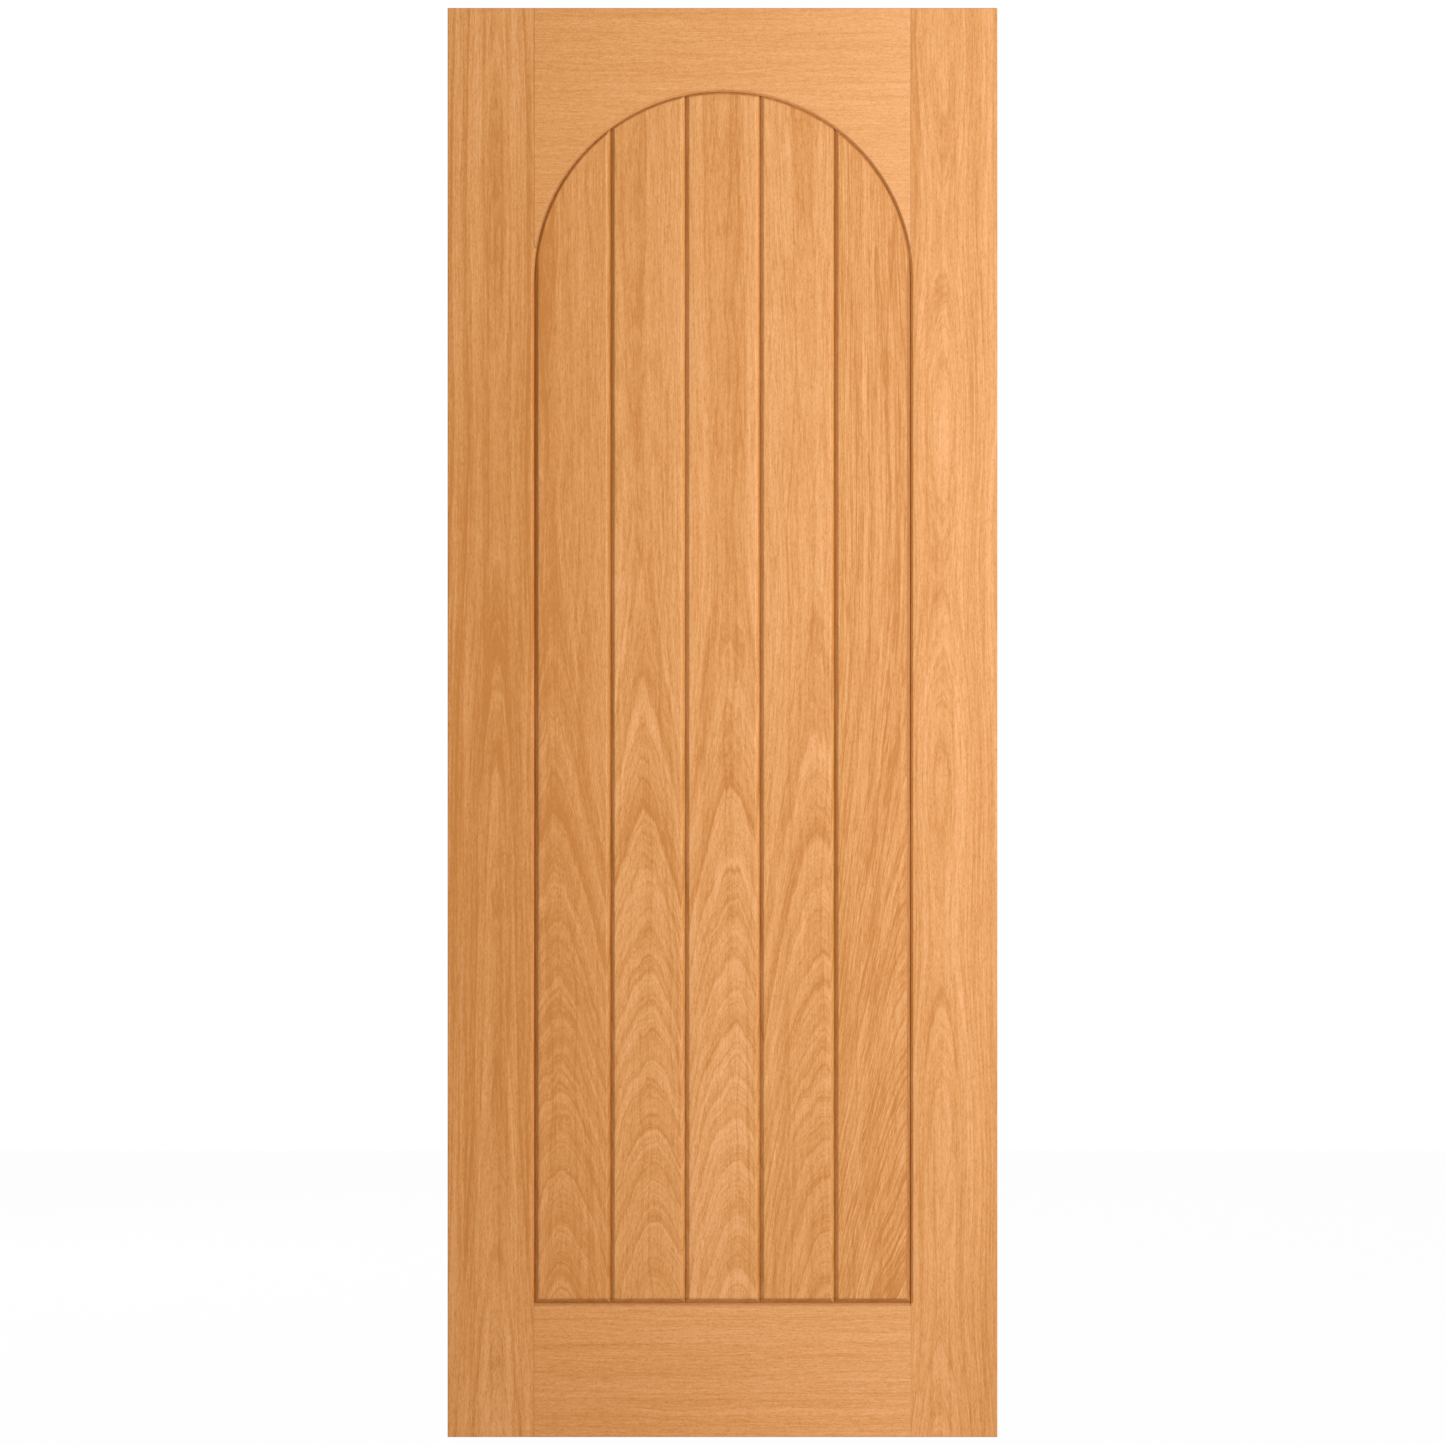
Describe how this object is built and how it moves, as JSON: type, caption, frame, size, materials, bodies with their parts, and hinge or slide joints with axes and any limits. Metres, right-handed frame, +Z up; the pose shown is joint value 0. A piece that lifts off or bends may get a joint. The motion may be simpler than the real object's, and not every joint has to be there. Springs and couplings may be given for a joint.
{
  "type": "door leaf with arched panel",
  "caption": "Rectangular oak door leaf whose stiles and rails frame a semicircular-headed panel of upright V-jointed boards, made to be hung on hinges.",
  "frame": {"origin": "middle of the bottom edge, at half the width and half the thickness", "axes": "+Z up along the height, +X along the width to the right seen from the front, +Y through the thickness from the front face to the back face"},
  "size_m": [0.762, 0.035, 1.981],
  "materials": {
    "oak_frame": "oak with a satin clear lacquer",
    "oak_boards": "oak with a satin clear lacquer",
    "beech_dowels": "bare beech"
  },
  "bodies": {
    "root": {"left_stile": "oak_frame", "right_stile": "oak_frame", "top_rail": "oak_frame", "bottom_rail": "oak_frame", "board_1": "oak_boards", "board_2": "oak_boards", "board_3": "oak_boards", "board_4": "oak_boards", "board_5": "oak_boards", "dowels_top_left": "beech_dowels", "dowels_top_right": "beech_dowels", "dowels_bottom_left": "beech_dowels", "dowels_bottom_right": "beech_dowels"}
  },
  "joints": []
}
